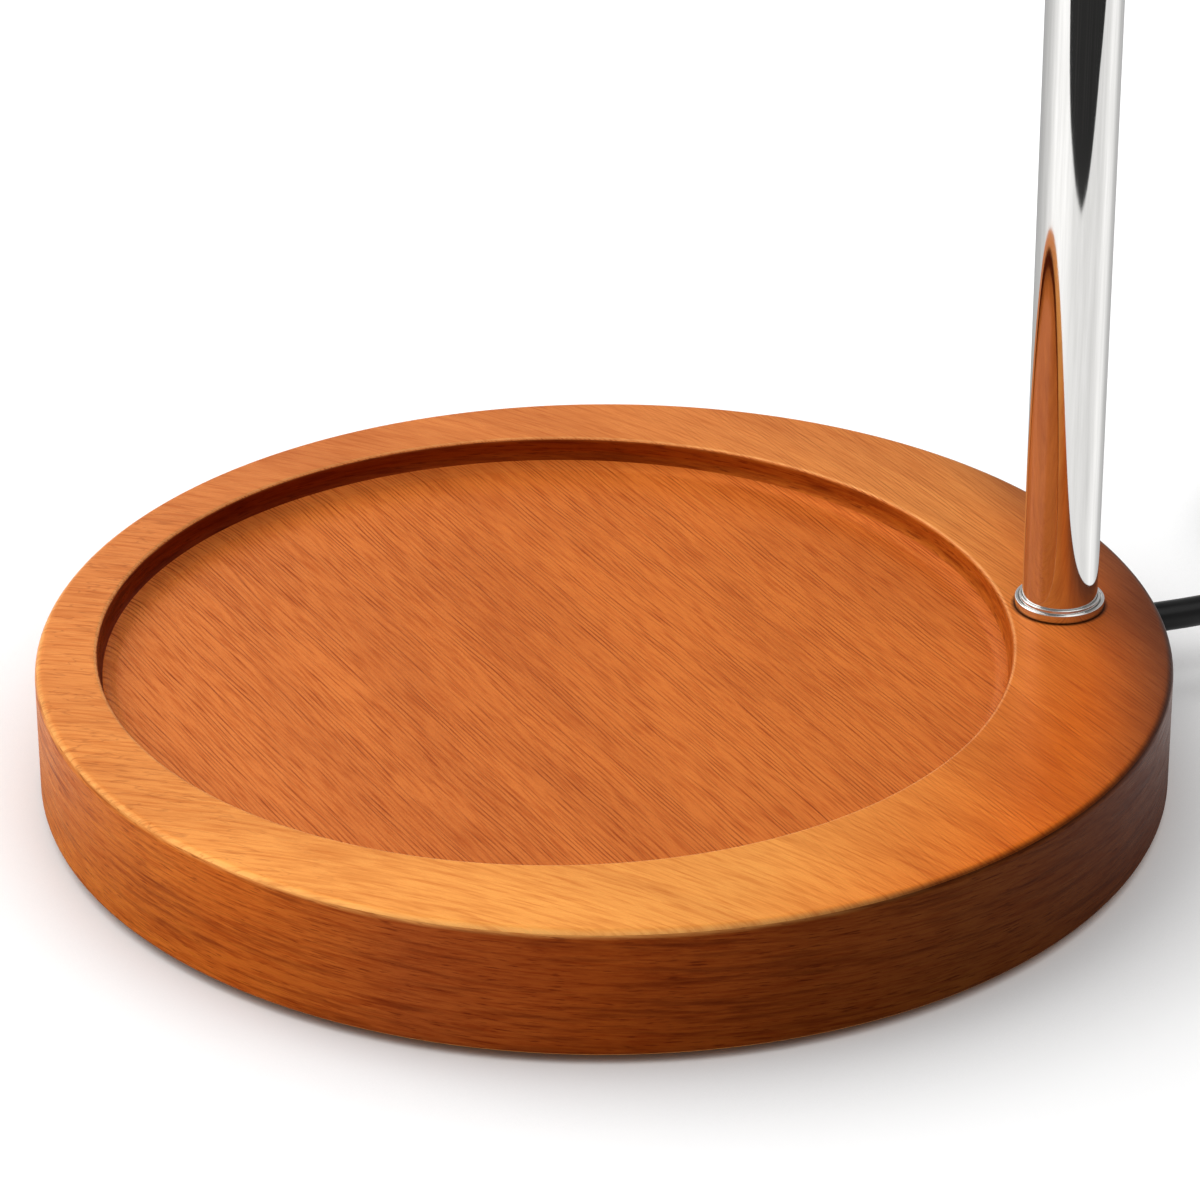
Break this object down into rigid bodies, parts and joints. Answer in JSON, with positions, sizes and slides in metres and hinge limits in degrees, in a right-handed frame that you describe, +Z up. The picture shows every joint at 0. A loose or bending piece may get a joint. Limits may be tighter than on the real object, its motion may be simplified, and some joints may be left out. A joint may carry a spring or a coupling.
{
  "type": "candle warmer lamp",
  "caption": "Warmer lamp: round wooden base with a sunk tray, chrome telescopic pole, swinging arched arm, vented shade over a reflector bulb, and a mains lead with an in-line wheel dimmer.",
  "frame": {"origin": "on the table, under the middle of the lamp without its lead (the middle of the round base in plan)", "axes": "+Z up; +X from the middle of the base towards the pole; +Y away from the viewer of the picture"},
  "size_m": [0.2995, 0.2014, 0.3111],
  "materials": {
    "wood": "satin varnished, reddish brown",
    "chrome": "mirror polished",
    "steel": "zinc plated",
    "brass": "plain turned",
    "shade_plate": "mirror polished outside, white lacquer inside",
    "foot_rubber": "matte",
    "relief_rubber": "matte",
    "black_plastic": "fine grained",
    "wheel_plastic": "ribbed, satin",
    "plug_black": "moulded, satin",
    "cord_black": "satin sheath",
    "nylon": "natural",
    "ceramic": "unglazed",
    "silicone": "matte",
    "wire_red": "satin",
    "board": "lacquered",
    "reflector_glass": "mirror coated glass",
    "lens_glass": "pressed, frosted",
    "capsule_glass": "clear"
  },
  "bodies": {
    "base": {"base_plate": "wood", "foot_1": "foot_rubber", "foot_2": "foot_rubber", "foot_3": "foot_rubber", "foot_4": "foot_rubber", "bottom_cover": "black_plastic", "cover_screw_1": "steel", "cover_screw_2": "steel", "cover_screw_3": "steel", "lower_pole": "chrome", "base_collar": "chrome", "pole_nipple": "steel", "pole_insert": "brass", "pole_washer": "steel", "pole_nut": "brass", "guide_bushing": "nylon", "lock_collar": "chrome", "strain_relief": "relief_rubber", "inner_sheath": "cord_black", "terminal_block": "nylon", "supply_wire": "wire_red", "block_lead": "silicone", "pole_lead": "silicone", "cord_to_dimmer": "cord_black", "dimmer_base": "black_plastic", "dimmer_cover": "black_plastic", "dimmer_board": "board", "dimmer_screw_1": "steel", "dimmer_screw_2": "steel", "cord_to_coil": "cord_black", "cord_coil": "cord_black", "cord_tail": "cord_black", "plug_body": "plug_black", "plug_blade_1": "brass", "plug_blade_2": "brass"},
    "lock": {"lock_knob": "chrome", "lock_stud": "steel"},
    "mast": {"upper_pole": "chrome", "glide_plug": "nylon", "swivel_lower": "chrome", "pivot_tube": "brass", "swivel_washer": "nylon", "stop_pin": "steel"},
    "arm": {"swivel_upper": "chrome", "arm_tube": "chrome", "arm_lead": "silicone", "shade": "shade_plate", "socket_cap": "chrome", "shade_ring": "chrome", "holder_strap": "steel", "cap_nut": "brass", "lamp_holder": "ceramic", "holder_screw_1": "steel", "holder_screw_2": "steel", "bulb_reflector": "reflector_glass", "bulb_lens": "lens_glass", "bulb_capsule": "capsule_glass", "bulb_pin_1": "steel", "bulb_pin_2": "steel"},
    "wheel": {"dimmer_wheel": "wheel_plastic"}
  },
  "joints": [
    {"name": "height", "type": "slide", "parent": "base", "child": "mast", "axis": [0, 0, 1], "range_m": [-0.035, 0.045], "deforming": ["pole_lead"]},
    {"name": "swing", "type": "hinge", "parent": "mast", "child": "arm", "pos_m": [0.0743, 0, 0.2098], "axis": [0, 0, 1], "range_deg": [-120, 120]},
    {"name": "lock_turn", "type": "hinge", "parent": "base", "child": "lock", "pos_m": [0.0846, 0, 0.1467], "axis": [1, 0, 0], "range_deg": [0, 270]},
    {"name": "dimmer_turn", "type": "hinge", "parent": "base", "child": "wheel", "pos_m": [0.17, -0.043, 0.01], "axis": [0, 0, 1], "range_deg": [0, 270]}
  ]
}
